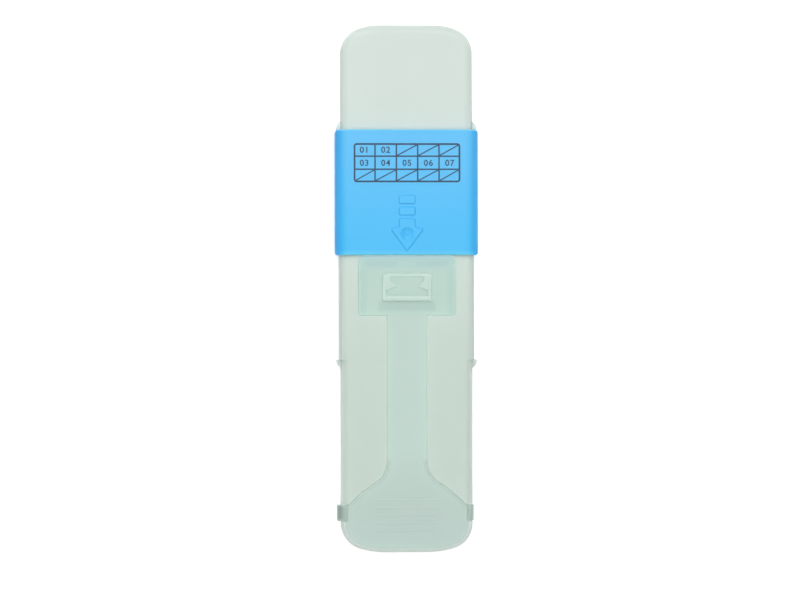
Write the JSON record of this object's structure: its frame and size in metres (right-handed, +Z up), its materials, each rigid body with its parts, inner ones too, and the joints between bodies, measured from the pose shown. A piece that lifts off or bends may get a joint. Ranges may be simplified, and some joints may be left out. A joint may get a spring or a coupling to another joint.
{
  "type": "lateral flow cassette",
  "caption": "Flat lateral flow test cassette with a captive sleeve that slides over the housing, presses in a hinged T-shaped lever and uncovers the read windows.",
  "frame": {"origin": "middle of the footprint, on the plane that the back rests on", "axes": "+X across the cassette to the right seen from the front, +Y from the inlet end to the plain end, +Z up out of the front face"},
  "size_m": [0.0394, 0.1448, 0.0104],
  "materials": {
    "shell_plastic": "milky translucent, satin",
    "lever_plastic": "milky translucent, satin",
    "sleeve_plastic": "opaque blue, satin",
    "sponge": "open-cell foam",
    "felt": "fibre wick",
    "card": "white backing card",
    "pad_fibre": "absorbent fibre pad",
    "conjugate_fibre": "fibre pad with dried conjugate",
    "membrane": "white nitrocellulose"
  },
  "bodies": {
    "housing": {"front_shell": "shell_plastic", "rear_shell": "shell_plastic", "squeeze_sponge": "sponge", "sample_wick": "felt", "backing_card_1": "card", "backing_card_2": "card", "backing_card_3": "card", "backing_card_4": "card", "backing_card_5": "card", "sample_pad_1": "pad_fibre", "sample_pad_2": "pad_fibre", "sample_pad_3": "pad_fibre", "sample_pad_4": "pad_fibre", "sample_pad_5": "pad_fibre", "conjugate_pad_1": "conjugate_fibre", "conjugate_pad_2": "conjugate_fibre", "conjugate_pad_3": "conjugate_fibre", "conjugate_pad_4": "conjugate_fibre", "conjugate_pad_5": "conjugate_fibre", "membrane_1": "membrane", "membrane_2": "membrane", "membrane_3": "membrane", "membrane_4": "membrane", "membrane_5": "membrane", "absorbent_pad_1": "pad_fibre", "absorbent_pad_2": "pad_fibre", "absorbent_pad_3": "pad_fibre", "absorbent_pad_4": "pad_fibre", "absorbent_pad_5": "pad_fibre"},
    "sleeve": {"slide_sleeve": "sleeve_plastic"},
    "lever": {"squeeze_lever": "lever_plastic"}
  },
  "joints": [
    {"name": "sleeve_slide", "type": "slide", "parent": "housing", "child": "sleeve", "axis": [0, -1, 0], "range_m": [0, 0.0286]},
    {"name": "lever_press", "type": "hinge", "parent": "housing", "child": "lever", "pos_m": [0, -0.06155, 0.0056], "axis": [-1, 0, 0], "range_deg": [0, 0.9746], "deforming": ["squeeze_sponge"]}
  ],
  "couplings": [
    {"joint": "lever_press", "follows": "sleeve_slide", "rad_per_m": 0.59474}
  ]
}
